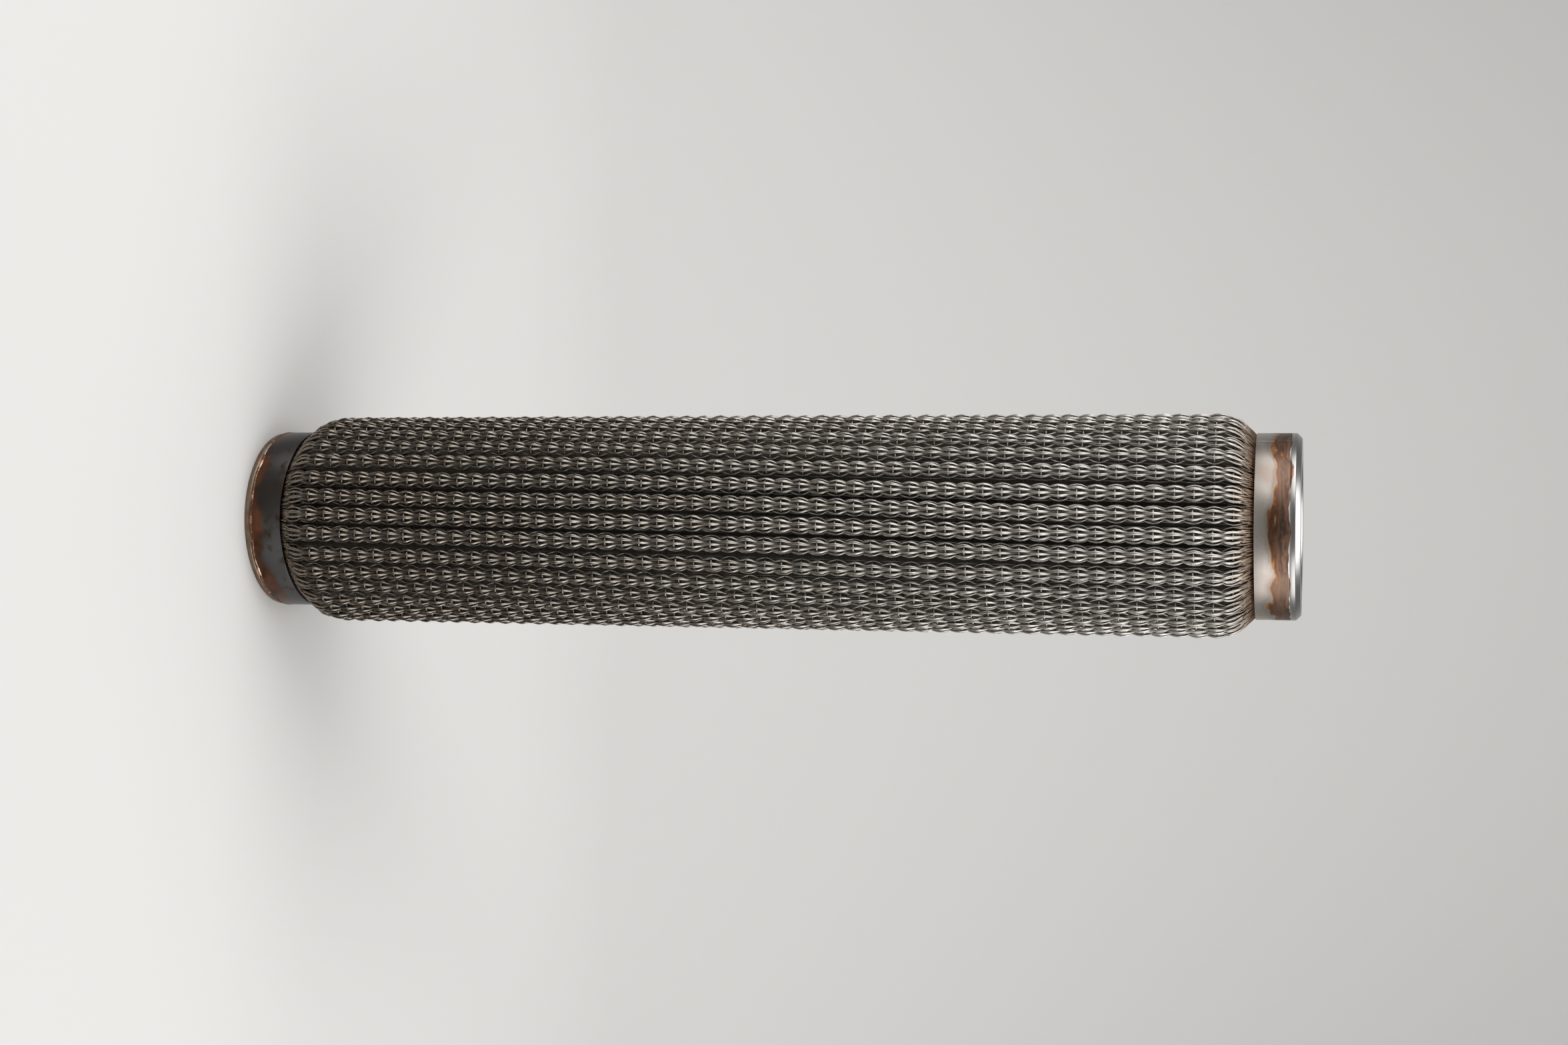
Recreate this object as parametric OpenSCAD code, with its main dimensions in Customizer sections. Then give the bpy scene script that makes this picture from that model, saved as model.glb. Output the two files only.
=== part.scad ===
// Pleated filter candle: three folded layers round a perforated core, held by a collar at each end.
// It stands on its closed cap, with the open end ring on top, and the axis is Z.

/* [Pleats] */
// Diameter over the pleat crests
pleat_od = 60; // [57:0.5:70]
// Number of pleats
pleats = 32; // [26:1:35]
// Direction of the first crest, from +X round to +Y
first_crest_at = 270; // [0:1:359]
// Outside radius of a pleat crest
crest_r = 2.3; // [1.9:0.05:2.4]
// Width of the slit at the foot between two pleats
slit_w = 0.3; // [0.2:0.05:0.5]
// Length of the pleats between the two collars
pleat_len = 269.3; // [60:0.1:400]
// Radius of the shoulder where the pleats turn in under a collar
shoulder_r = 8; // [7:0.5:12]

/* [Layers] */
// Thickness of the woven outer mesh over its strands
mesh_t = 1.1; // [0.9:0.05:1.25]
// Thickness of the sintered fibre felt
felt_t = 0.3; // [0.2:0.05:0.4]
// Thickness of the fine inner mesh
backing_t = 0.2; // [0.1:0.05:0.3]
// Space between two layers, and between the folds and what they touch
layer_gap = 0.04; // [0.02:0.01:0.06]
// Strands that show as ridges across a crest
strands = 7; // [3:2:7]
// Angle from one strand to the next round the crest
strand_step = 24; // [16:1:24]
// Depth of the groove between two strands
strand_groove = 0.28; // [0.1:0.02:0.4]

/* [Core tube] */
// Outside diameter of the perforated core
core_od = 40; // [38:0.5:42]
// Wall of the core
core_wall = 1; // [0.6:0.1:1.5]
// Diameter of a hole in the core
hole_d = 6; // [3:0.5:8]
// Rows of holes along the core
hole_rows = 22; // [4:1:26]
// Holes in a row
holes_in_row = 10; // [4:1:12]

/* [Collars] */
// Outside diameter of the collar at the closed end
lower_collar_od = 50.6; // [49:0.2:54]
// Outside diameter of the collar at the open end
upper_collar_od = 49.2; // [48.6:0.2:54]
// Thickness of the rolled band
collar_wall = 0.8; // [0.5:0.05:1]
// Height of each collar
collar_h = 9; // [6:0.5:20]
// Width of the axial seam in a collar
seam_w = 0.3; // [0.1:0.05:0.6]
// Depth of the seam
seam_depth = 0.35; // [0.1:0.05:0.45]
// Direction of the upper seam, from +X round to +Y
upper_seam_at = 206; // [0:1:359]
// Direction of the lower seam, from +X round to +Y
lower_seam_at = 75; // [0:1:359]

/* [Closed end] */
// Thickness of the cap's rim
cap_t = 2.2; // [1.5:0.1:6]
// Chamfer round the foot of the cap
cap_chamfer = 0.5; // [0.2:0.1:1]
// Height of the boss that centres the core
boss_h = 5; // [2:0.5:12]
// Width of the weld between cap and collar
weld_w = 1.4; // [0.8:0.1:1.8]
// How far the weld stands proud of the collar
weld_proud = 0.25; // [0.1:0.05:0.5]

/* [Open end] */
// Height of the end ring above the collar
ring_t = 2.6; // [2:0.1:8]
// Chamfer on the end ring
ring_chamfer = 1.3; // [0.3:0.1:1.6]
// Depth of the spigot inside the core
spigot_h = 5; // [2:0.5:12]
// Wall of the spigot, between the core and the bore of the ring
spigot_wall = 1.9; // [1:0.1:5]

/* [Hidden] */
$fn = 96;

cut = 1;
felt_in = mesh_t + layer_gap;
backing_in = felt_in + felt_t + layer_gap;
pack_t = backing_in + backing_t;

pleat_r = pleat_od / 2;
half_pitch = 180 / pleats;
slit_r = slit_w / 2;
crest_c = [pleat_r - crest_r, 0];
valley_r = core_od / 2 + layer_gap + pack_t + slit_r;
valley_c = valley_r * [cos(half_pitch), sin(half_pitch)];
to_valley = valley_c - crest_c;
lean = asin((crest_r + slit_r) / norm(to_valley)) - atan2(to_valley.y, -to_valley.x);
crest_half = 90 + lean;
valley_from = lean - 90;
valley_sweep = 180 + 2 * lean - 2 * half_pitch;
arc_steps = 6;

pleat_z0 = cap_t;
mesh_z0 = cap_t + collar_h;
mesh_z1 = mesh_z0 + pleat_len;
pleat_z1 = mesh_z1 + collar_h;
total_h = pleat_z1 + ring_t;
lower_neck = lower_collar_od / 2 - collar_wall - layer_gap;
upper_neck = upper_collar_od / 2 - collar_wall - layer_gap;
crest_clear = 0.05;
shoulder_c = pleat_r + crest_clear - shoulder_r;
shoulder_step = 25;

core_ir = core_od / 2 - core_wall;
inside_fit = 0.1;
spigot_r = core_ir - inside_fit;
bore_r = spigot_r - spigot_wall;

function turned(p, a) = [p.x * cos(a) - p.y * sin(a), p.x * sin(a) + p.y * cos(a)];
function arc(c, r, a0, sweep, steps) =
    [for (i = [0:steps]) c + r * [cos(a0 + sweep * i / steps), sin(a0 + sweep * i / steps)]];

// The crest as a plain arc, or as a row of strands with a groove between each two
function plain_crest(inset) = arc(crest_c, crest_r - inset, -crest_half, 2 * crest_half, arc_steps);
function ridge(at, r) = crest_c + r * [cos(at), sin(at)];
function stranded_crest() = [
    ridge(-crest_half, crest_r),
    for (k = [-(strands - 1) / 2:(strands - 1) / 2]) each [
        ridge((k - 0.5) * strand_step, crest_r - strand_groove),
        ridge((k - 0.25) * strand_step, crest_r),
        ridge((k + 0.25) * strand_step, crest_r)],
    ridge(strands / 2 * strand_step, crest_r - strand_groove),
    ridge(crest_half, crest_r)];
function valley(inset) = arc(valley_c, slit_r + inset, valley_from, -valley_sweep, arc_steps);
function folded(inset) = concat(inset > 0 ? plain_crest(inset) : stranded_crest(), valley(inset));
function outline(inset) =
    [for (i = [0:pleats - 1], p = folded(inset)) turned(p, 2 * half_pitch * i)];

// How far the shoulder arc turns before it meets the neck under a collar
function shoulder_end(neck, inset) = acos((neck - inset - shoulder_c) / (shoulder_r - inset));
function shoulder(neck, inset) = let (last = shoulder_end(neck, inset))
    [for (a = [0:shoulder_step:last - 1]) (shoulder_r - inset) * [cos(a), sin(a)],
     (shoulder_r - inset) * [cos(last), sin(last)]];
function shoulder_h(neck) = shoulder_r * sin(shoulder_end(neck, 0));

// Space inside the folded pack at one depth below its outer face. The turned form clears the crests,
// so it cuts the folds only on the shoulders and under the collars.
module pack_inside(inset, past) {
    low = shoulder(lower_neck, inset);
    high = shoulder(upper_neck, inset);
    z0 = mesh_z0 + shoulder_h(lower_neck);
    z1 = mesh_z1 - shoulder_h(upper_neck);
    intersection() {
        translate([0, 0, pleat_z0 - past])
            linear_extrude(pleat_z1 - pleat_z0 + 2 * past) polygon(outline(inset));
        rotate_extrude() polygon([
            [0, pleat_z0 - past], [lower_neck - inset, pleat_z0 - past],
            for (i = [len(low) - 1:-1:0]) [shoulder_c + low[i].x, z0 - low[i].y],
            for (p = high) [shoulder_c + p.x, z1 + p.y],
            [upper_neck - inset, pleat_z1 + past], [0, pleat_z1 + past]]);
    }
}

module pleated_layer(inset, thickness) {
    rotate([0, 0, first_crest_at]) difference() {
        pack_inside(inset, 0);
        pack_inside(inset + thickness, cut);
    }
}

module outer_mesh() {
    color("#a9a196") pleated_layer(0, mesh_t);
}

module filter_felt() {
    color("#6d675f") pleated_layer(felt_in, felt_t);
}

module inner_mesh() {
    color("#8c8780") pleated_layer(backing_in, backing_t);
}

module core_tube() {
    pitch = pleat_len / hole_rows;
    color("#9a9890") translate([0, 0, pleat_z0]) difference() {
        cylinder(h = pleat_z1 - pleat_z0, d = core_od);
        translate([0, 0, -cut]) cylinder(h = pleat_z1 - pleat_z0 + 2 * cut, r = core_ir);
        for (row = [0:hole_rows - 1], k = [0:holes_in_row - 1])
            rotate([0, 0, (k + (row % 2) / 2) * 360 / holes_in_row])
                translate([core_ir - cut, 0, collar_h + (row + 0.5) * pitch])
                    rotate([0, 90, 0]) cylinder(h = core_wall + 2 * cut, d = hole_d, $fn = 32);
    }
}

// Rolled band with its seam along the axis, bevelled where a weld fills its lower edge
module collar(od, bevel, seam_at) {
    r = od / 2;
    difference() {
        rotate_extrude() polygon([
            [r - collar_wall, 0], [r - bevel, 0], [r, bevel], [r, collar_h], [r - collar_wall, collar_h]]);
        rotate([0, 0, seam_at]) translate([r - seam_depth, -seam_w / 2, -cut])
            cube([seam_depth + cut, seam_w, collar_h + 2 * cut]);
    }
}

module lower_collar() {
    color("#6f665c") translate([0, 0, pleat_z0]) collar(lower_collar_od, weld_w / 2, lower_seam_at);
}

module upper_collar() {
    color("#b9b2a6") translate([0, 0, mesh_z1]) collar(upper_collar_od, 0, upper_seam_at);
}

// Turned disc with a boss inside the core, and the weld that fills the collar's bevelled edge
module end_cap() {
    r = lower_collar_od / 2;
    bevel = weld_w / 2;
    color("#8a7256") rotate_extrude() polygon([
        [0, 0], [r - cap_chamfer, 0], [r, cap_chamfer], [r, cap_t - bevel],
        [r + weld_proud, cap_t - bevel / 3], [r + weld_proud, cap_t + bevel / 3], [r, cap_t + bevel],
        [r - bevel, cap_t], [spigot_r, cap_t], [spigot_r, cap_t + boss_h], [0, cap_t + boss_h]]);
}

// Turned ring with a spigot inside the core
module end_ring() {
    r = upper_collar_od / 2;
    color("#d2cec6") rotate_extrude() polygon([
        [bore_r, pleat_z1 - spigot_h], [spigot_r, pleat_z1 - spigot_h], [spigot_r, pleat_z1],
        [r, pleat_z1], [r, total_h - ring_chamfer], [r - ring_chamfer, total_h], [bore_r, total_h]]);
}

end_cap();
core_tube();
inner_mesh();
filter_felt();
outer_mesh();
lower_collar();
upper_collar();
end_ring();
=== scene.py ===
import math
import random

import bpy
from mathutils import Matrix, Vector, noise


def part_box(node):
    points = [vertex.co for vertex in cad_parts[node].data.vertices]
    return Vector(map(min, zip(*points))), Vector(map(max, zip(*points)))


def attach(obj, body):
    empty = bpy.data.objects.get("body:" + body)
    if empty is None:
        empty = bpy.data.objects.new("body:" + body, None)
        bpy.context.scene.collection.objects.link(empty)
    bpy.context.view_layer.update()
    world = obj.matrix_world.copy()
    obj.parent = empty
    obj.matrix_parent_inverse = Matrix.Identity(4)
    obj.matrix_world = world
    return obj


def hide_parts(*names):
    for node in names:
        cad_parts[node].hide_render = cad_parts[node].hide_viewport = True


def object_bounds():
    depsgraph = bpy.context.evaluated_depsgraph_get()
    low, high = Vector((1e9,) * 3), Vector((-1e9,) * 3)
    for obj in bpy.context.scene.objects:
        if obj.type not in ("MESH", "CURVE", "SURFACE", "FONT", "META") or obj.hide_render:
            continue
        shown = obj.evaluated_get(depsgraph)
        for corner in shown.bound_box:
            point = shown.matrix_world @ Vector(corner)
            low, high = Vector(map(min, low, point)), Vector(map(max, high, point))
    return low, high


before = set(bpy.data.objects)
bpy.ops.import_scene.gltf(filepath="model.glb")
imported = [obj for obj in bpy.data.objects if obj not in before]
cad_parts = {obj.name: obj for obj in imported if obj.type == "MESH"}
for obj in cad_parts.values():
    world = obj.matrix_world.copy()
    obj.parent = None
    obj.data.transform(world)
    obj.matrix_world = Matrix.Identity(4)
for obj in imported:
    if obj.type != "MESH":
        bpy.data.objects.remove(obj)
cad_low, cad_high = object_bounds()


# End cap: a steel disc that closes the lower end of the element, turned with a rounded foot.
# A boss on it centres the core, and the heat of welding has left its rim brown and coppery.
MM = 0.001
cap_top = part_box("lower_collar")[0].z
cap_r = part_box("lower_collar")[1].x
boss_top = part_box("end_cap")[1].z
boss_r = 18.9 * MM
cap_edge_break = 0.4 * MM
foot_inset = 0.3 * MM
rim_inset = 0.1 * MM
weld_groove = 0.7 * MM
spin_steps = 240
edge_segments = 3
sharp_angle = math.radians(25)
smooth_angle = math.radians(35)


def deselect_all():
    bpy.ops.object.select_all(action="DESELECT")


def activate(piece):
    deselect_all()
    piece.select_set(True)
    bpy.context.view_layer.objects.active = piece


def turned(name, profile, edge_break, start=0.0, sweep=2 * math.pi):
    """Spins a profile of radius and height round the axis, then breaks its sharp edges."""
    mesh = bpy.data.meshes.new(name)
    points = [(r * math.cos(start), r * math.sin(start), z) for r, z in profile]
    mesh.from_pydata(points, [(i, i + 1) for i in range(len(points) - 1)], [])
    piece = bpy.data.objects.new(name, mesh)
    bpy.context.collection.objects.link(piece)
    activate(piece)
    bpy.ops.object.mode_set(mode="EDIT")
    bpy.ops.mesh.select_all(action="SELECT")
    bpy.ops.mesh.spin(steps=spin_steps, angle=sweep, center=(0, 0, 0), axis=(0, 0, 1))
    bpy.ops.mesh.select_all(action="SELECT")
    bpy.ops.mesh.remove_doubles(threshold=1e-6)
    if sweep < 2 * math.pi:
        bpy.ops.mesh.select_non_manifold(extend=False)
        bpy.ops.mesh.edge_face_add()
        bpy.ops.mesh.select_all(action="SELECT")
    bpy.ops.mesh.normals_make_consistent(inside=False)
    bpy.ops.object.mode_set(mode="OBJECT")
    bevel = piece.modifiers.new("edge_break", "BEVEL")
    bevel.width = edge_break
    bevel.segments = edge_segments
    bevel.limit_method = "ANGLE"
    bevel.angle_limit = sharp_angle
    bpy.ops.object.modifier_apply(modifier=bevel.name)
    bpy.ops.object.shade_smooth_by_angle(angle=smooth_angle)
    return piece


def new_finish(name, roughness=0.4):
    """A metal material, with its shader and the Object coordinates that its patterns read."""
    finish = bpy.data.materials.new(name)
    finish.use_nodes = True
    tree = finish.node_tree
    shader = tree.nodes["Principled BSDF"]
    shader.inputs["Metallic"].default_value = 1.0
    shader.inputs["Roughness"].default_value = roughness
    return finish, tree, shader, tree.nodes.new("ShaderNodeTexCoord").outputs["Object"]


def put(tree, kind, inputs=None, **settings):
    """Adds a node, and sets or links each of its named inputs."""
    made = tree.nodes.new(kind)
    for name, value in settings.items():
        setattr(made, name, value)
    for name, value in (inputs or {}).items():
        if isinstance(value, bpy.types.NodeSocket):
            tree.links.new(value, made.inputs[name])
        else:
            made.inputs[name].default_value = value
    return made


def ramp(tree, value, *stops):
    """A colour ramp over a value, from pairs of position and colour."""
    made = put(tree, "ShaderNodeValToRGB", {"Fac": value})
    elements = made.color_ramp.elements
    while len(elements) < len(stops):
        elements.new(1.0)
    for element, (position, colour) in zip(elements, stops):
        element.position = position
        element.color = (*colour, 1.0)
    return made.outputs["Color"]


def speckle(tree, place, scale, detail=3.0):
    made = put(tree, "ShaderNodeTexNoise", {"Vector": place, "Scale": scale, "Detail": detail})
    return made.outputs["Fac"]


def bump(tree, shader, height, strength, distance):
    made = put(tree, "ShaderNodeBump", {"Height": height, "Strength": strength, "Distance": distance})
    tree.links.new(made.outputs["Normal"], shader.inputs["Normal"])


def cap_finish():
    finish, tree, shader, place = new_finish("heated_cap_steel")
    patches = speckle(tree, place, 140.0, 4.0)
    tree.links.new(ramp(tree, patches, (0.3, (0.13, 0.085, 0.055)), (0.5, (0.23, 0.185, 0.135)),
                        (0.7, (0.20, 0.10, 0.06))), shader.inputs["Base Color"])
    bump(tree, shader, speckle(tree, place, 1600.0), 0.25, 0.15 * MM)
    return finish


def dress(piece, finish, slot, *replaced):
    """Gives a new piece its material and its body, and hides the CAD nodes that it stands for. Its slot is
    not used.
    """
    piece.data.materials.clear()
    piece.data.materials.append(finish)
    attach(piece, "root")
    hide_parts(*replaced)


rim_r = cap_r - rim_inset
cap_profile = [(0, 0), (cap_r - foot_inset, 0), (rim_r, cap_top - weld_groove),
               (rim_r - weld_groove, cap_top), (boss_r, cap_top), (boss_r, boss_top), (0, boss_top)]
end_cap = turned("end_cap_disc", cap_profile, cap_edge_break)
dress(end_cap, cap_finish(), "cap_steel", "end_cap")


# Weld bead: the run of fused steel that joins the cap to the lower collar.
# It was laid in overlapping ripples by hand, so its width and height wander round the rim.
bead_r = 0.6 * MM
bead_pitch = 1.3 * MM
bead_centre_r = cap_r - 0.45 * MM
bead_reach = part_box("end_cap")[1].x
bead_wander = 0.35 * MM
bead_wanders = 5


def weld_bead():
    """A torus whose section grows along each ripple and whose line wanders up and down."""
    deselect_all()
    bpy.ops.mesh.primitive_torus_add(major_segments=480, minor_segments=12, major_radius=bead_centre_r,
                                     minor_radius=bead_r, location=(0, 0, cap_top))
    bead = bpy.context.object
    bead.name = "cap_weld"
    bpy.ops.object.transform_apply(location=True)
    for vertex in bead.data.vertices:
        x, y, z = vertex.co
        angle = math.atan2(y, x)
        out = math.hypot(x, y) - bead_centre_r
        up = z - cap_top
        along = angle * bead_centre_r / bead_pitch
        wander = noise.noise(Vector((math.cos(angle) * bead_wanders, math.sin(angle) * bead_wanders, 1.7)))
        ripple = (along + 0.35 * (up / bead_r) ** 2 + 0.6 * wander) % 1.0
        plump = 0.92 + 0.22 * ripple ** 1.5 + 0.22 * wander
        r = min(bead_centre_r + out * plump, bead_reach)
        vertex.co = (r * math.cos(angle), r * math.sin(angle), cap_top + up * plump + bead_wander * wander)
    bpy.ops.object.shade_smooth()
    return bead


def fade(tree, value, start, end):
    """0 at start and 1 at end, smooth between them."""
    made = put(tree, "ShaderNodeMapRange", {"Value": value, "From Min": start, "From Max": end},
               interpolation_type="SMOOTHSTEP")
    return made.outputs["Result"]


def blend_colours(tree, factor, first, second, blend_type="MIX"):
    made = put(tree, "ShaderNodeMix", {0: factor, 6: first, 7: second}, data_type="RGBA",
               blend_type=blend_type)
    return made.outputs[2]


def new_group(name, inputs, outputs):
    tree = bpy.data.node_groups.new(name, "ShaderNodeTree")
    for label, kind in inputs:
        tree.interface.new_socket(label, in_out="INPUT", socket_type=kind)
    for label, kind in outputs:
        tree.interface.new_socket(label, in_out="OUTPUT", socket_type=kind)
    return tree, tree.nodes.new("NodeGroupInput").outputs, tree.nodes.new("NodeGroupOutput").inputs


def temper_group():
    """Oxide colours of heated steel, from bare metal at 0 through straw and brown to grey scale at 1."""
    tree, given, gives = new_group(
        "temper_colours",
        [("Heat", "NodeSocketFloat")],
        [("Color", "NodeSocketColor"), ("Roughness", "NodeSocketFloat")])
    colour = ramp(
        tree, given["Heat"],
        (0.00, (0.38, 0.345, 0.315)), (0.12, (0.35, 0.305, 0.27)), (0.21, (0.25, 0.25, 0.255)),
        (0.26, (0.34, 0.26, 0.175)), (0.31, (0.27, 0.12, 0.05)), (0.38, (0.10, 0.052, 0.034)),
        (0.55, (0.17, 0.092, 0.062)), (0.70, (0.07, 0.052, 0.042)), (0.85, (0.22, 0.118, 0.076)),
        (1.00, (0.11, 0.08, 0.065)))
    tree.links.new(colour, gives["Color"])
    rough = put(tree, "ShaderNodeMapRange", {"Value": given["Heat"], "To Min": 0.38, "To Max": 0.5})
    tree.links.new(rough.outputs["Result"], gives["Roughness"])
    return tree


temper_colours = temper_group()


def temper(tree, heat):
    made = put(tree, "ShaderNodeGroup", {"Heat": heat}, node_tree=temper_colours)
    return made.outputs["Color"], made.outputs["Roughness"]


def bead_finish():
    finish, tree, shader, place = new_finish("weld_metal")
    colour, rough = temper(tree, fade(tree, speckle(tree, place, 260.0), 0.36, 0.66))
    # Painted highlight: spots of lighter copper on the bead stand in for its glints.
    painted_glints = fade(tree, speckle(tree, place, 420.0), 0.52, 0.62)
    tree.links.new(blend_colours(tree, painted_glints, colour, (0.52, 0.29, 0.19, 1)), shader.inputs["Base Color"])
    tree.links.new(rough, shader.inputs["Roughness"])
    return finish


cap_weld = weld_bead()
dress(cap_weld, bead_finish(), "cap_steel", "end_cap")


# Core tube: perforated steel tube inside the pleats, which carries them against the outside pressure.
# It slides over the boss of the cap and the spigot of the end ring, and is clean bare steel.
def core_finish():
    finish, tree, shader, place = new_finish("core_steel", 0.38)
    tone = speckle(tree, place, 60.0, 5.0)
    tree.links.new(ramp(tree, tone, (0.3, (0.36, 0.34, 0.31)), (0.7, (0.50, 0.48, 0.45))),
                   shader.inputs["Base Color"])
    bump(tree, shader, speckle(tree, place, 900.0), 0.15, 0.1 * MM)
    return finish


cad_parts["core_tube"].material_slots[0].material = core_finish()


# Folded layers: the sintered fibre felt that filters, and the fine cloth behind it.
# Both are folded into the same pleats as the outer cloth, so little more than their dark crests shows.
pleats = 32
pleat_pitch = 2 * math.pi / pleats
first_crest = -math.pi / 2
pleat_r = -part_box("outer_mesh")[0].y
mesh_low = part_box("lower_collar")[1].z
mesh_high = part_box("upper_collar")[0].z
collar_wall = 0.8 * MM
lower_neck = cap_r - collar_wall
upper_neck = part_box("upper_collar")[1].x - collar_wall
shoulder_h = 9.5 * MM
shoulder_bend = 2.2
twist_start = math.radians(-3.27)
twist_rate = math.radians(31.8)
core_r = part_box("core_tube")[1].x
felt_crest = pleat_r - 1.75 * MM
felt_valley = core_r + 0.9 * MM
felt_t = 0.3 * MM
backing_crest = felt_crest - felt_t - 0.1 * MM
backing_valley = core_r + 0.35 * MM
backing_t = 0.2 * MM
fold_points = 8
fold_bend = 0.8
straight_steps = 6
neck_steps = (0.0, 0.25, 0.5, 0.75)


def twist(z):
    """How far the pleats have wandered round the axis at one height."""
    return twist_start + twist_rate * z


def turned_in(z):
    """How far a shoulder has turned in at one height: 0 on the straight pleats and 1 at a collar."""
    past = max(mesh_low + shoulder_h - z, z - mesh_high + shoulder_h, 0.0)
    return min(past / shoulder_h, 1.0)


def drop(z):
    """How far the crests have come in towards the axis at one height."""
    neck = lower_neck if z < (mesh_low + mesh_high) / 2 else upper_neck
    return (pleat_r - neck) * turned_in(z) ** shoulder_bend


def folded_sheet(name, crest, valley, wall):
    """A pleated tube: a ring of points drawn up in steps, then folded in and out, twisted and necked."""
    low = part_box("filter_felt")[0].z
    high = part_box("filter_felt")[1].z
    straight = mesh_high - mesh_low - 2 * shoulder_h
    heights = [mesh_low + shoulder_h * t for t in neck_steps]
    heights += [mesh_low + shoulder_h + straight * i / straight_steps for i in range(straight_steps + 1)]
    heights += [mesh_high - shoulder_h * t for t in reversed(neck_steps)] + [high]
    deselect_all()
    bpy.ops.mesh.primitive_circle_add(vertices=pleats * fold_points, radius=crest, location=(0, 0, low))
    sheet = bpy.context.object
    sheet.name = name
    bpy.ops.object.transform_apply(location=True)
    bpy.ops.object.mode_set(mode="EDIT")
    bpy.ops.mesh.select_all(action="SELECT")
    for below, above in zip([low] + heights, heights):
        bpy.ops.mesh.extrude_region_move(TRANSFORM_OT_translate={"value": (0, 0, above - below)})
    bpy.ops.mesh.select_all(action="SELECT")
    bpy.ops.mesh.normals_make_consistent(inside=False)
    bpy.ops.object.mode_set(mode="OBJECT")
    for vertex in sheet.data.vertices:
        angle = math.atan2(vertex.co.y, vertex.co.x)
        fold = 0.5 + 0.5 * math.cos((angle - first_crest) / pleat_pitch * 2 * math.pi)
        r = min(valley + (crest - valley) * fold ** fold_bend, crest - drop(vertex.co.z))
        angle += twist(vertex.co.z)
        vertex.co = (r * math.cos(angle), r * math.sin(angle), vertex.co.z)
    thicken = sheet.modifiers.new("wall", "SOLIDIFY")
    thicken.thickness = wall
    thicken.offset = -1
    bpy.ops.object.modifier_apply(modifier=thicken.name)
    bpy.ops.object.shade_smooth()
    return sheet


def felt_finish():
    finish, tree, shader, place = new_finish("sintered_felt", 0.7)
    fibres = speckle(tree, place, 2600.0, 6.0)
    tree.links.new(ramp(tree, fibres, (0.35, (0.22, 0.20, 0.18)), (0.75, (0.42, 0.39, 0.36))),
                   shader.inputs["Base Color"])
    bump(tree, shader, fibres, 0.6, 0.2 * MM)
    return finish


def backing_finish():
    finish, tree, shader, place = new_finish("fine_cloth", 0.45)
    weave = put(tree, "ShaderNodeTexWave", {"Vector": place, "Scale": 900.0, "Distortion": 0.6},
                bands_direction="Z").outputs["Fac"]
    tree.links.new(ramp(tree, weave, (0.2, (0.16, 0.15, 0.14)), (0.8, (0.42, 0.40, 0.37))),
                   shader.inputs["Base Color"])
    bump(tree, shader, weave, 0.5, 0.15 * MM)
    return finish


inner_cloth = folded_sheet("inner_cloth", backing_crest, backing_valley, backing_t)
dress(inner_cloth, backing_finish(), "fine_wire", "inner_mesh")
felt = folded_sheet("felt_folds", felt_crest, felt_valley, felt_t)
dress(felt, felt_finish(), "felt", "filter_felt")


# Outer cloth: coarse plain weave of steel wire, folded over the felt to protect it.
# Pairs of wires run along each pleat over and under single hoop wires, and bunch up under the collars.
wire_r = 0.22 * MM
hoop_r = 0.32 * MM
hoop_pitch = 4.89 * MM
hoop_count = 54
last_hoop_z = 275.4 * MM
hoop_stray = 0.25 * MM
strand_step = math.radians(19.5)
strand_stray = math.radians(2)
pair_half = math.radians(4.6)
pair_close = 0.45
outer_strand = 4
crest_half = 2.55 * MM
over_rise = crest_half - wire_r
cross_rise = 1.66 * MM
under_rise = 0.95 * MM
hoop_rise = 1.62 * MM
arc_steps = (-0.5, -0.27, 0.0, 0.27, 0.5)
arc_share = (0.84, 1.0)
arc_shift = 0.15 * MM
pinch = 0.9
swell = 1.12
flank_turn = math.radians(108)
flank_wave = 0.3
flank_steps = (-0.75, -0.25, 0.25, 0.75)
neck_depth = 0.45
neck_bend = 1.1
bunch_steps = (2.6 * MM, 1.3 * MM, -0.4 * MM, -5 * MM)
bunch_stray = math.radians(9)
fillers = 10
filler_start = 0.2 * MM
filler_side = 1.12 * outer_strand * strand_step
filler_length = (3.0 * MM, 5.5 * MM)
filler_steps = (0.66, 0.33, 0.0, -0.5)
filler_stray = math.radians(10)
hoop_turns = [math.radians(a) for a in (-112, -80, -50, -20, 20, 50, 80, 112)]
hoop_foot = 3.6 * MM
hoop_foot_half = 1.25 * MM
crest_stray = math.radians(0.7)
crest_low = (0.02 * MM, 0.4 * MM)
crest_lean = math.radians(7)
sway_turn = (math.radians(0.1), math.radians(0.6))
sway_length = 170 * MM
sectors = (7, 7, 6, 6, 6)


def crest_at(pleat, z):
    """The direction of a crest at one height: its place in the ring and the sway of a hand-set fold."""
    return pleat["at"] + pleat["sway"] * math.sin(2 * math.pi * z / sway_length + pleat["sway_from"])


def in_pleat(pleat, z, out, along):
    """A point of one pleat, given out from the axis and along the circle from the crest."""
    angle = first_crest + crest_at(pleat, z) + twist(z)
    return (out * math.cos(angle) - along * math.sin(angle),
            out * math.sin(angle) + along * math.cos(angle), z)


def strand_point(pleat, turn, rise, z):
    """A point of a strand: round the crest on the straight, spread evenly where the collar grips it."""
    crest = pleat_r - pleat["low"] - drop(z)
    spread = turned_in(z) ** neck_bend
    out = crest - crest_half + rise * math.cos(turn)
    along = rise * math.sin(turn)
    neck_out = crest - wire_r - neck_depth * (over_rise - rise)
    neck_along = neck_out * pleat_pitch * (turn / strand_step) / (2 * outer_strand + 1)
    return in_pleat(pleat, z, out + (neck_out - out) * spread, along + (neck_along - along) * spread)


def bunched(pleat, turn, mouth, way, rng):
    """The end of a wire, crumpled where it is pushed in under a collar."""
    line = []
    for past in bunch_steps:
        stray = turn + rng.uniform(-bunch_stray, bunch_stray)
        line.append(strand_point(pleat, stray, rng.uniform(under_rise, over_rise), mouth + way * past))
    return line


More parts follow.
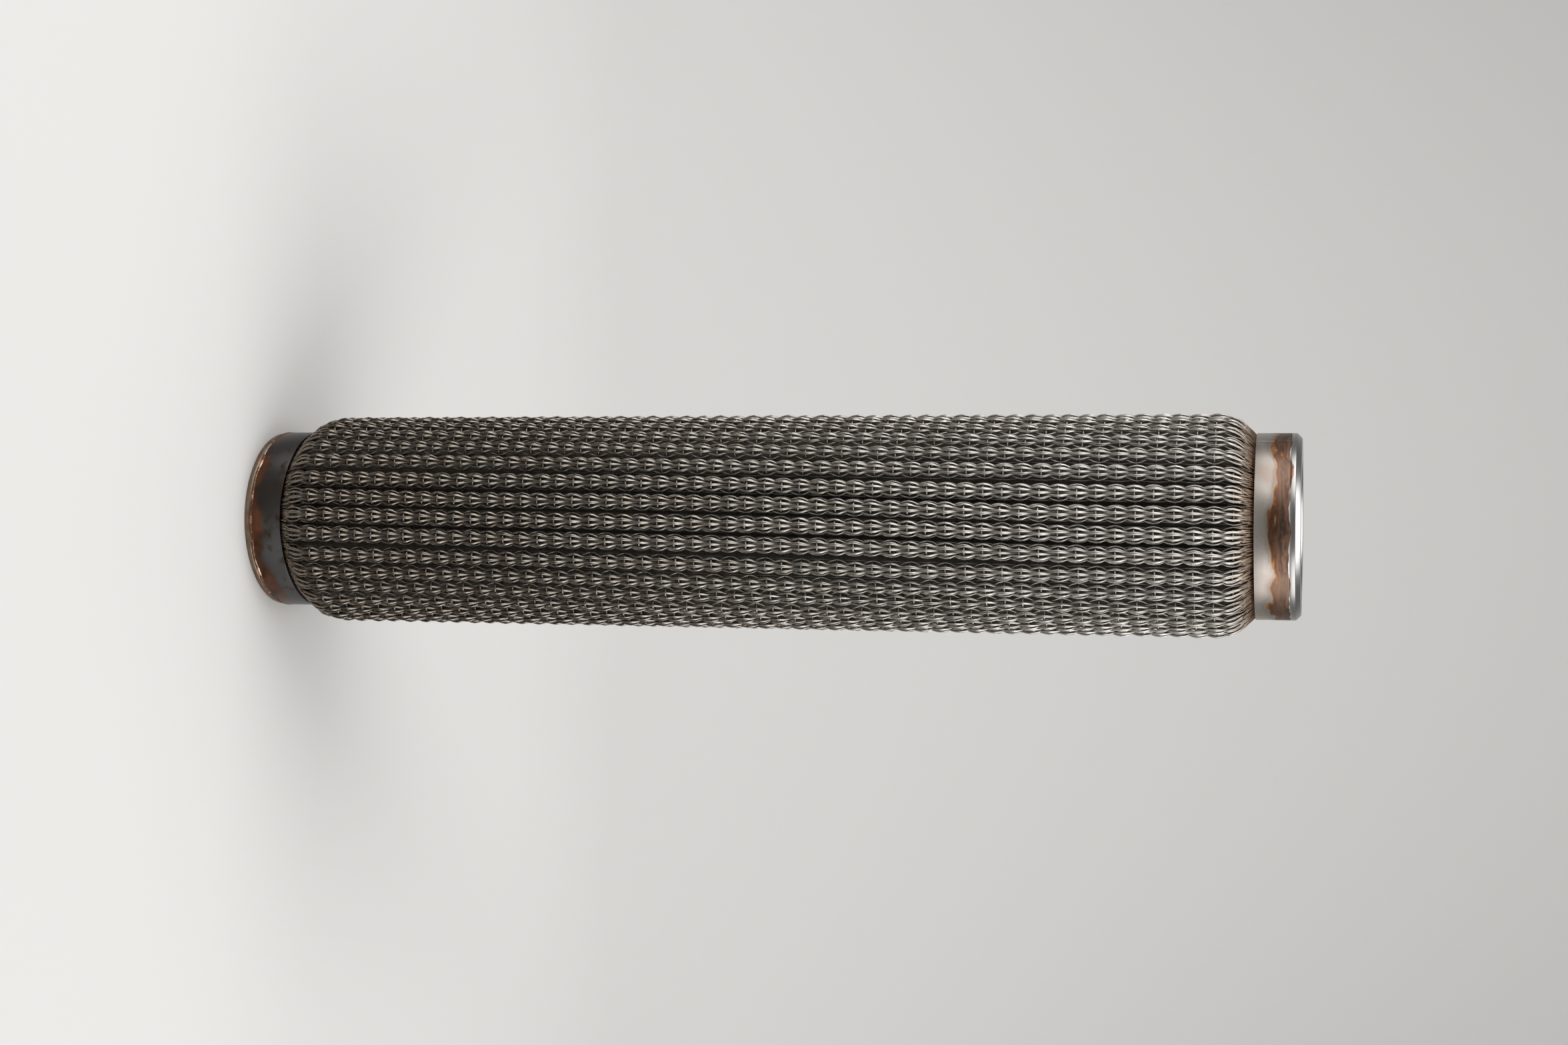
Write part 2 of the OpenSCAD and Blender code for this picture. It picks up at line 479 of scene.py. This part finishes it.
def strand_line(pleat, strand, side, rng):
    """One wire of a strand, over every second hoop and under the hoops between."""
    middle = strand * strand_step + pleat["lean"] + rng.uniform(-strand_stray, strand_stray)
    line = bunched(pleat, middle + side * pair_half, mesh_low, 1, rng)[::-1]
    for number, z in enumerate(pleat["hoops"]):
        if (number + strand + pleat["phase"]) % 2:
            line.append(strand_point(pleat, pinch * middle + side * pair_half / 2, under_rise, z))
            continue
        top = cross_rise + (over_rise - cross_rise) * rng.uniform(*arc_share)
        shift = rng.uniform(-arc_shift, arc_shift)
        for step in arc_steps:
            lift = math.cos(math.pi * step)
            turn = middle * (pinch + (swell - pinch) * lift)
            turn += side * pair_half * (pair_close + (1 - pair_close) * lift)
            rise = cross_rise + (top - cross_rise) * lift
            line.append(strand_point(pleat, turn, rise, z + shift + step * hoop_pitch))
    return line + bunched(pleat, middle + side * pair_half, mesh_high, -1, rng)


def flank_line(pleat, side, rng):
    """A wire low on the flank of a pleat, in flat waves."""
    line = bunched(pleat, side * flank_turn, mesh_low, 1, rng)[::-1]
    for number, z in enumerate(pleat["hoops"]):
        if (number + pleat["phase"]) % 2:
            for step in flank_steps:
                rise = cross_rise + flank_wave * (over_rise - cross_rise) * (1 + math.cos(math.pi * step))
                line.append(strand_point(pleat, side * flank_turn, rise, z + step * hoop_pitch))
    return line + bunched(pleat, side * flank_turn, mesh_high, -1, rng)


def filler_line(pleat, mouth, way, rng):
    """A short wire of the folded-in end of a pleat, pressed between its neighbours at the collar."""
    turn = rng.uniform(-filler_side, filler_side)
    length = rng.uniform(*filler_length)
    line = [strand_point(pleat, turn, filler_start, mouth + way * length)]
    for share in filler_steps:
        stray = turn + rng.uniform(-filler_stray, filler_stray)
        rise = rng.uniform(under_rise, over_rise)
        line.append(strand_point(pleat, stray, rise, mouth + way * share * length))
    return line


def hoop_line(pleat, z):
    """A hoop wire over one crest, with its legs down both flanks."""
    centre = pleat_r - crest_half - pleat["low"] - drop(z)
    line = [in_pleat(pleat, z, centre - hoop_foot, -hoop_foot_half)]
    for turn in hoop_turns:
        line.append(in_pleat(pleat, z, centre + hoop_rise * math.cos(turn), hoop_rise * math.sin(turn)))
    line.append(in_pleat(pleat, z, centre - hoop_foot, hoop_foot_half))
    return line


def add_wire(curve, line, radius):
    spline = curve.splines.new("POLY")
    spline.points.add(len(line) - 1)
    for point, place in zip(spline.points, line):
        point.co = (*place, 1.0)
        point.radius = radius / wire_r


def mark_rise(piece, folds):
    """Keeps on each point how far it stands out of its fold: 0 under the hoops and 1 on top of the arcs."""
    rises = []
    for vertex in piece.data.vertices:
        x, y, z = vertex.co
        angle = (math.atan2(y, x) - first_crest - twist(z)) % (2 * math.pi)
        pleat = folds[round(angle / pleat_pitch) % pleats]
        if pleat is None:
            rises.append(1.0)
            continue
        centre = pleat_r - crest_half - pleat["low"] - drop(z)
        reach = math.hypot(x, y)
        aside = angle - crest_at(pleat, z)
        rise = math.hypot(reach * math.cos(aside) - centre, reach * math.sin(aside))
        share = (rise - under_rise) / (over_rise - under_rise)
        # Under a collar the wires lie side by side, so there it is their depth below the crest that counts.
        neck_share = 1.0 - (centre + over_rise - reach) / (neck_depth * (over_rise - under_rise))
        rises.append(share + (neck_share - share) * turned_in(z))
    piece.data.attributes.new("weave_rise", "FLOAT", "POINT").data.foreach_set("value", rises)


def cloth_sector(name, numbers, rng):
    """The wires of some neighbouring pleats, drawn as lines and given their thickness."""
    folds = [None] * pleats
    curve = bpy.data.curves.new(name, "CURVE")
    curve.dimensions = "3D"
    curve.bevel_depth = wire_r
    curve.bevel_resolution = 0
    curve.use_fill_caps = True
    for number in numbers:
        pleat = {
            "at": number * pleat_pitch + rng.uniform(-crest_stray, crest_stray),
            "sway": rng.uniform(*sway_turn),
            "sway_from": rng.uniform(0, 2 * math.pi),
            "low": rng.uniform(*crest_low),
            "lean": rng.uniform(-crest_lean, crest_lean),
            "phase": rng.randrange(2),
            "hoops": [last_hoop_z - (hoop_count - 1 - i) * hoop_pitch + rng.uniform(-hoop_stray, hoop_stray)
                      for i in range(hoop_count)],
        }
        folds[number] = pleat
        for strand in range(-outer_strand, outer_strand + 1):
            for side in ((0,) if abs(strand) == outer_strand else (-1, 1)):
                add_wire(curve, strand_line(pleat, strand, side, rng), wire_r)
        for side in (-1, 1):
            add_wire(curve, flank_line(pleat, side, rng), wire_r)
        for z in pleat["hoops"]:
            add_wire(curve, hoop_line(pleat, z), hoop_r)
        for mouth, way in ((mesh_low, 1), (mesh_high, -1)):
            for _ in range(fillers):
                add_wire(curve, filler_line(pleat, mouth, way, rng), wire_r)
    piece = bpy.data.objects.new(name, curve)
    bpy.context.collection.objects.link(piece)
    activate(piece)
    bpy.ops.object.convert(target="MESH")
    bpy.ops.object.shade_smooth()
    mark_rise(bpy.context.object, folds)
    return bpy.context.object


def sums(tree, operation, first, second):
    made = put(tree, "ShaderNodeMath", {0: first, 1: second}, operation=operation)
    return made.outputs["Value"]


def rust_group():
    """Small rust spots: a mask that grows with the amount, and their colour."""
    tree, given, gives = new_group(
        "rust_spots",
        [("Vector", "NodeSocketVector"), ("Amount", "NodeSocketFloat")],
        [("Mask", "NodeSocketFloat"), ("Color", "NodeSocketColor")])
    spots = speckle(tree, given["Vector"], 620.0, 4.0)
    level = put(tree, "ShaderNodeMapRange", {"Value": given["Amount"], "To Min": 0.80, "To Max": 0.56})
    mask = put(tree, "ShaderNodeMapRange", {
        "Value": sums(tree, "SUBTRACT", spots, level.outputs["Result"]), "From Max": 0.12, "To Max": 0.7})
    tree.links.new(mask.outputs["Result"], gives["Mask"])
    tree.links.new(ramp(tree, speckle(tree, given["Vector"], 1500.0),
                        (0.35, (0.17, 0.085, 0.042)), (0.65, (0.40, 0.205, 0.095))), gives["Color"])
    return tree


rust_spots = rust_group()


def rusty(tree, place, amount, colour):
    """A colour with rust spots on it, and the mask of the spots."""
    spots = put(tree, "ShaderNodeGroup", {"Vector": place, "Amount": amount}, node_tree=rust_spots)
    return blend_colours(tree, spots.outputs["Mask"], colour, spots.outputs["Color"]), spots.outputs["Mask"]


def wire_finish():
    finish, tree, shader, place = new_finish("wire_steel")
    height = put(tree, "ShaderNodeSeparateXYZ", {"Vector": place}).outputs["Z"]
    tone = ramp(tree, speckle(tree, place, 75.0, 5.0),
                (0.3, (0.66, 0.625, 0.58)), (0.7, (0.86, 0.825, 0.775)))
    low_end = fade(tree, height, 270 * MM, -30 * MM)
    # Browner and darker towards the lower end: partly a brown tint of the wires, partly painted shade, as
    # the light falls from above.
    browned_and_shaded = blend_colours(tree, sums(tree, "MULTIPLY", low_end, 0.7), tone, (0.51, 0.42, 0.33, 1))
    # Dark brown over the 9 mm of the wires just above the lower collar.
    mouth = fade(tree, height, mesh_low + 9 * MM, mesh_low + 1 * MM)
    darkened_at_mouth = blend_colours(tree, sums(tree, "MULTIPLY", mouth, 0.8), browned_and_shaded, (0.11, 0.082, 0.06, 1))
    heated = fade(tree, height, mesh_high - 6.5 * MM, mesh_high - 0.5 * MM)
    bronze = ramp(tree, heated, (0.3, (0.36, 0.24, 0.135)), (0.95, (0.14, 0.078, 0.04)))
    bronzed = blend_colours(tree, sums(tree, "MULTIPLY", heated, 0.95), darkened_at_mouth, bronze)
    rusted, rust = rusty(tree, place, low_end, bronzed)
    # Painted shade: the lower a wire lies in its fold (under the hoops, between the arcs, deep under a
    # collar), the darker its colour.
    rise = put(tree, "ShaderNodeAttribute", attribute_name="weave_rise").outputs["Fac"]
    painted_depth_shade = ramp(tree, rise, (0.0, (0.13, 0.115, 0.105)), (0.45, (0.34, 0.318, 0.30)), (0.9, (1, 1, 1)))
    depth_shaded = blend_colours(tree, 1.0, rusted, painted_depth_shade, "MULTIPLY")
    # Painted shade: downward-facing faces of the wires are darkened, more strongly and more widely towards
    # the lower end, as the light falls from above; it is kept off the wires just above the lower collar.
    facing = put(tree, "ShaderNodeSeparateXYZ", {
        "Vector": tree.nodes["Texture Coordinate"].outputs["Normal"]}).outputs["Z"]
    lower_share = put(tree, "ShaderNodeMapRange", {
        "Value": height, "From Min": mesh_high, "From Max": 80 * MM}).outputs["Result"]
    away = sums(tree, "SUBTRACT", facing, sums(tree, "MULTIPLY", lower_share, 0.12))
    amount = sums(tree, "ADD", sums(tree, "MULTIPLY", lower_share, 0.32), 0.6)
    painted_underside_shade = sums(tree, "MULTIPLY", fade(tree, away, 0.12, -0.12), amount)
    painted_underside_shade = sums(tree, "MULTIPLY", painted_underside_shade, fade(tree, height, mesh_low + 1 * MM, mesh_low + 10 * MM))
    underside_shaded = blend_colours(tree, painted_underside_shade, depth_shaded, (0.045, 0.036, 0.028, 1))
    tree.links.new(underside_shaded, shader.inputs["Base Color"])
    rough = put(tree, "ShaderNodeMapRange", {"Value": rust, "To Min": 0.5, "To Max": 0.7})
    tree.links.new(rough.outputs["Result"], shader.inputs["Roughness"])
    return finish


wire_steel = wire_finish()
cloth_rng = random.Random(34)
next_pleat = 0
for sector, count in enumerate(sectors, 1):
    cloth = cloth_sector(f"outer_cloth_{sector}", range(next_pleat, next_pleat + count), cloth_rng)
    dress(cloth, wire_steel, "wire", "outer_mesh")
    next_pleat += count


# Lower collar: a rolled steel band that grips the ends of the pleats above the cap.
# Its butt seam runs along the axis, and the weld below has turned the band dark, blue-grey and brown.
seam_w = 0.3 * MM
lower_seam_at = math.radians(75)
band_edge_break = 0.12 * MM


def rolled_band(name, low, high, outer_r, seam_at):
    """A band rolled to a ring, with a narrow gap between its two ends."""
    inner_r = outer_r - collar_wall
    profile = [(inner_r, low), (outer_r, low), (outer_r, high), (inner_r, high), (inner_r, low)]
    gap = seam_w / outer_r
    return turned(name, profile, band_edge_break, seam_at + gap / 2, 2 * math.pi - gap)


def lower_collar_finish():
    finish, tree, shader, place = new_finish("heated_collar_steel", 0.35)
    height = put(tree, "ShaderNodeSeparateXYZ", {"Vector": place}).outputs["Z"]
    clouds = sums(tree, "SUBTRACT", speckle(tree, place, 70.0, 2.0), 0.5)
    reach = sums(tree, "ADD", sums(tree, "MULTIPLY", clouds, 9 * MM), cap_top + 2.6 * MM)
    band = fade(tree, sums(tree, "SUBTRACT", height, reach), 1.6 * MM, -1.4 * MM)
    brown = ramp(tree, speckle(tree, place, 190.0, 4.0),
                 (0.35, (0.05, 0.024, 0.014)), (0.6, (0.13, 0.052, 0.027)), (0.75, (0.055, 0.036, 0.024)))
    haze = fade(tree, speckle(tree, place, 45.0, 2.0), 0.38, 0.66)
    grey = blend_colours(tree, haze, (0.032, 0.028, 0.025, 1), (0.086, 0.085, 0.083, 1))
    smudges = fade(tree, speckle(tree, place, 300.0, 5.0), 0.5, 0.72)
    smudged = blend_colours(tree, smudges, grey, (0.04, 0.028, 0.02, 1))
    blued = blend_colours(tree, band, smudged, brown)
    rusted, _ = rusty(tree, place, 0.35, blued)
    tree.links.new(rusted, shader.inputs["Base Color"])
    bump(tree, shader, speckle(tree, place, 1400.0), 0.2, 0.1 * MM)
    return finish


lower_collar = rolled_band("lower_band", cap_top, mesh_low, cap_r, lower_seam_at)
dress(lower_collar, lower_collar_finish(), "dark_collar", "lower_collar")


# Upper collar: the same rolled band at the open end, of clean satin steel with small pits.
# The weld to the end ring has left a wavy stain of oxide colours along its upper edge.
upper_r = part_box("upper_collar")[1].x
weld_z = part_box("upper_collar")[1].z
upper_seam_at = math.radians(206)


def stain_group():
    """The stain beside the upper weld: heat that fades down the collar, and the bright cut above it."""
    tree, given, gives = new_group(
        "weld_stain",
        [("Vector", "NodeSocketVector")],
        [("Heat", "NodeSocketFloat"), ("Bright", "NodeSocketFloat")])
    height = put(tree, "ShaderNodeSeparateXYZ", {"Vector": given["Vector"]}).outputs["Z"]
    wave = put(tree, "ShaderNodeMapRange", {
        "Value": speckle(tree, given["Vector"], 120.0), "From Min": 0.3, "From Max": 0.7,
        "To Min": -0.7 * MM, "To Max": 0.7 * MM}).outputs["Result"]
    above = sums(tree, "SUBTRACT", sums(tree, "SUBTRACT", height, weld_z), wave)
    tree.links.new(fade(tree, above, -0.05 * MM, 0.08 * MM), gives["Bright"])
    reach = put(tree, "ShaderNodeMapRange", {
        "Value": speckle(tree, given["Vector"], 75.0, 2.0), "From Min": 0.36, "From Max": 0.64,
        "To Min": 3.4 * MM, "To Max": 8.5 * MM}).outputs["Result"]
    nearness = put(tree, "ShaderNodeClamp", {"Value": sums(
        tree, "ADD", 1.0, sums(tree, "DIVIDE", above, reach))}).outputs["Result"]
    flowed = put(tree, "ShaderNodeMapping", {
        "Vector": given["Vector"], "Scale": (1, 1, 4)}).outputs["Vector"]
    streaks = sums(tree, "SUBTRACT", speckle(tree, flowed, 150.0, 5.0), 0.5)
    patchy = sums(tree, "ADD", sums(tree, "MULTIPLY", streaks, 1.4), 0.80)
    tree.links.new(sums(tree, "MULTIPLY", nearness, patchy), gives["Heat"])
    return tree


weld_stain = stain_group()


def stained(tree, place):
    made = put(tree, "ShaderNodeGroup", {"Vector": place}, node_tree=weld_stain)
    return made.outputs["Heat"], made.outputs["Bright"]


def upper_collar_finish():
    finish, tree, shader, place = new_finish("tinted_collar_steel")
    heat, bright = stained(tree, place)
    colour, rough = temper(tree, heat)
    pits = fade(tree, speckle(tree, place, 2600.0, 2.0), 0.69, 0.75)
    haze = fade(tree, speckle(tree, place, 48.0, 2.0), 0.46, 0.62)
    hazed = blend_colours(tree, sums(tree, "MULTIPLY", haze, 0.6), colour, (0.16, 0.105, 0.075, 1))
    pitted = blend_colours(tree, pits, hazed, (0.12, 0.09, 0.075, 1))
    tree.links.new(blend_colours(tree, bright, pitted, (0.50, 0.49, 0.475, 1)), shader.inputs["Base Color"])
    tree.links.new(rough, shader.inputs["Roughness"])
    bump(tree, shader, speckle(tree, place, 1100.0), 0.12, 0.1 * MM)
    return finish


upper_collar = rolled_band("upper_band", mesh_high, weld_z, upper_r, upper_seam_at)
dress(upper_collar, upper_collar_finish(), "tinted_collar", "upper_collar")


# End ring: a bright steel ring turned after welding, with a chamfer and the bore that lets the flow out.
# Its spigot sits in the core, and the tool has left fine rings on its faces.
ring_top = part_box("end_ring")[1].z
spigot_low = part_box("end_ring")[0].z
ring_chamfer = 1.3 * MM
spigot_wall = 1.9 * MM
bore_r = boss_r - spigot_wall
bore_break = 0.5 * MM
ring_edge_break = 0.12 * MM


def ring_finish():
    finish, tree, shader, place = new_finish("turned_steel", 0.32)
    split = put(tree, "ShaderNodeSeparateXYZ", {"Vector": place}).outputs
    flat = put(tree, "ShaderNodeCombineXYZ", {"X": split["X"], "Y": split["Y"]}).outputs["Vector"]
    reach = put(tree, "ShaderNodeVectorMath", {0: flat}, operation="LENGTH").outputs["Value"]
    turning = put(tree, "ShaderNodeCombineXYZ", {"X": reach, "Y": split["Z"]}).outputs["Vector"]
    marks = speckle(tree, turning, 5200.0, 2.0)
    cut = ramp(tree, marks, (0.35, (0.27, 0.262, 0.254)), (0.65, (0.375, 0.367, 0.355)))
    heat, bright = stained(tree, place)
    colour, _ = temper(tree, heat)
    tree.links.new(blend_colours(tree, bright, colour, cut), shader.inputs["Base Color"])
    bump(tree, shader, marks, 0.2, 0.05 * MM)
    return finish


ring_profile = [(bore_r, spigot_low), (boss_r, spigot_low), (boss_r, weld_z), (upper_r, weld_z),
                (upper_r, ring_top - ring_chamfer), (upper_r - ring_chamfer, ring_top),
                (bore_r + bore_break, ring_top), (bore_r, ring_top - bore_break), (bore_r, spigot_low)]
end_ring = turned("end_ring_turned", ring_profile, ring_edge_break)
dress(end_ring, ring_finish(), "turned_steel", "end_ring")


# Studio: a plain floor of pale paper that sweeps up behind the object.
# One soft light hangs overhead, and one with a narrower beam stands on each side.
floor_half = 3.0
sweep_at = 0.9
sweep_r = 0.6
overhead_size = (0.7, 0.5)
side_size = (1.0, 0.6)
object_middle = (0, 0, (cad_low.z + cad_high.z) / 2)


def pale_sweep():
    deselect_all()
    bpy.ops.mesh.primitive_plane_add(size=2 * floor_half, location=(0, sweep_at - floor_half, 0))
    floor = bpy.context.object
    floor.name = "floor"
    bpy.ops.object.transform_apply(location=True)
    bpy.ops.object.mode_set(mode="EDIT")
    bpy.ops.mesh.select_mode(type="EDGE")
    bpy.ops.mesh.select_all(action="DESELECT")
    bpy.ops.object.mode_set(mode="OBJECT")
    for edge in floor.data.edges:
        edge.select = all(floor.data.vertices[v].co.y > sweep_at - 1e-4 for v in edge.vertices)
    bpy.ops.object.mode_set(mode="EDIT")
    bpy.ops.mesh.extrude_region_move(TRANSFORM_OT_translate={"value": (0, 0, floor_half)})
    bpy.ops.object.mode_set(mode="OBJECT")
    bevel = floor.modifiers.new("sweep", "BEVEL")
    bevel.width = sweep_r
    bevel.segments = 24
    bevel.limit_method = "ANGLE"
    bpy.ops.object.modifier_apply(modifier=bevel.name)
    bpy.ops.object.shade_smooth()
    finish = bpy.data.materials.new("pale_paper")
    finish.use_nodes = True
    paper = finish.node_tree.nodes["Principled BSDF"].inputs
    paper["Base Color"].default_value = (0.72, 0.715, 0.70, 1)
    paper["Roughness"].default_value = 0.9
    floor.data.materials.append(finish)


def soft_light(name, place, size, power, spread):
    deselect_all()
    bpy.ops.object.light_add(type="AREA", location=place)
    lamp = bpy.context.object
    lamp.name = name
    lamp.data.shape = "RECTANGLE"
    lamp.data.size, lamp.data.size_y = size
    lamp.data.energy = power
    lamp.data.spread = math.radians(spread)
    lamp.rotation_euler = (Vector(object_middle) - Vector(place)).to_track_quat("-Z", "Y").to_euler()


pale_sweep()
soft_light("overhead", (0.0, -0.10, 0.95), overhead_size, 5.0, 180)
soft_light("side_low", (0.80, -0.35, 0.40), side_size, 3.0, 120)
soft_light("side_high", (-0.80, -0.35, 0.40), side_size, 3.0, 120)
world = bpy.data.worlds.new("studio")
world.use_nodes = True
sky = world.node_tree.nodes["Background"].inputs
sky["Color"].default_value = (1.0, 0.99, 0.97, 1)
sky["Strength"].default_value = 0.20
bpy.context.scene.world = world
bpy.context.scene.view_settings.view_transform = "Standard"


# Camera: it stands level with the open end and looks a little down.
# It is turned on its side, so that the element lies across the picture.
camera_back = 0.5874
camera_up = 0.3002
look_down = math.radians(14.17)
roll = math.radians(-0.48)


def place_camera():
    deselect_all()
    bpy.ops.object.camera_add()
    camera = bpy.context.object
    ahead = Vector((0, math.cos(look_down), -math.sin(look_down)))
    right = Vector((0, math.sin(look_down), math.cos(look_down)))
    down = Vector((1, 0, 0))
    rolled_right = math.cos(roll) * right + math.sin(roll) * down
    rolled_down = math.cos(roll) * down - math.sin(roll) * right
    turn = Matrix((rolled_right, -rolled_down, -ahead)).transposed()
    camera.matrix_world = Matrix.Translation((0, -camera_back, camera_up)) @ turn.to_4x4()
    camera.data.lens = 50
    camera.data.sensor_width = 36
    bpy.context.scene.camera = camera


place_camera()
